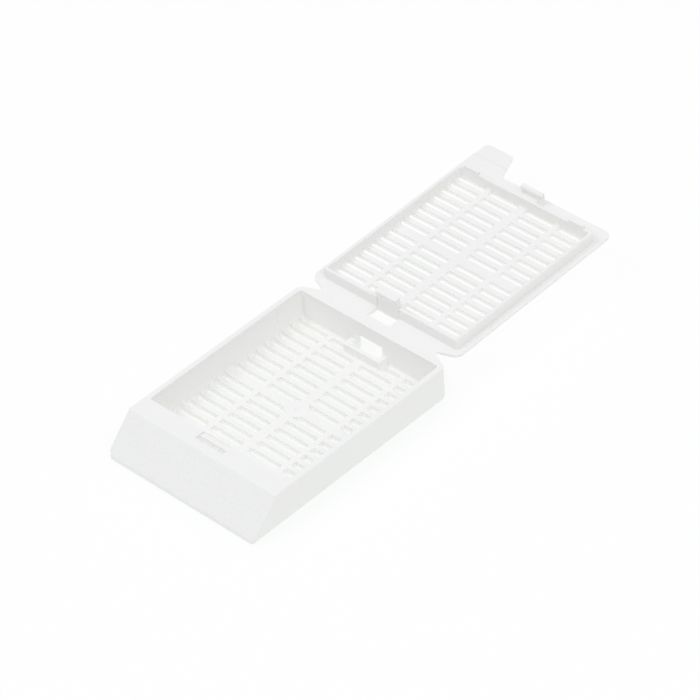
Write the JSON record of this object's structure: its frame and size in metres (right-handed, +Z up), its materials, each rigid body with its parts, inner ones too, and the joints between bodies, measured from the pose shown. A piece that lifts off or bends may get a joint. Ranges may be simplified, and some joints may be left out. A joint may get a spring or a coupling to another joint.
{
  "type": "tissue cassette",
  "caption": "Slotted tissue processing cassette: open tray with a sloped writing end and an attached snap lid that folds over on a living hinge.",
  "frame": {"origin": "middle of the tray's underside", "axes": "+X across the width, +Y from the writing end towards the hinge and the open lid, +Z up"},
  "size_m": [0.0286, 0.081, 0.0095],
  "materials": {
    "acetal_white": "satin"
  },
  "bodies": {
    "tray": {"tray": "acetal_white", "living_hinge": "acetal_white"},
    "lid": {"lid": "acetal_white"}
  },
  "joints": [
    {"name": "lid_hinge", "type": "hinge", "parent": "tray", "child": "lid", "pos_m": [0, 0.02117, 0.00595], "axis": [1, 0, 0], "range_deg": [-1.7, 178.3], "stiffness_Nm_per_rad": 0.0005, "deforming": ["living_hinge"]}
  ]
}
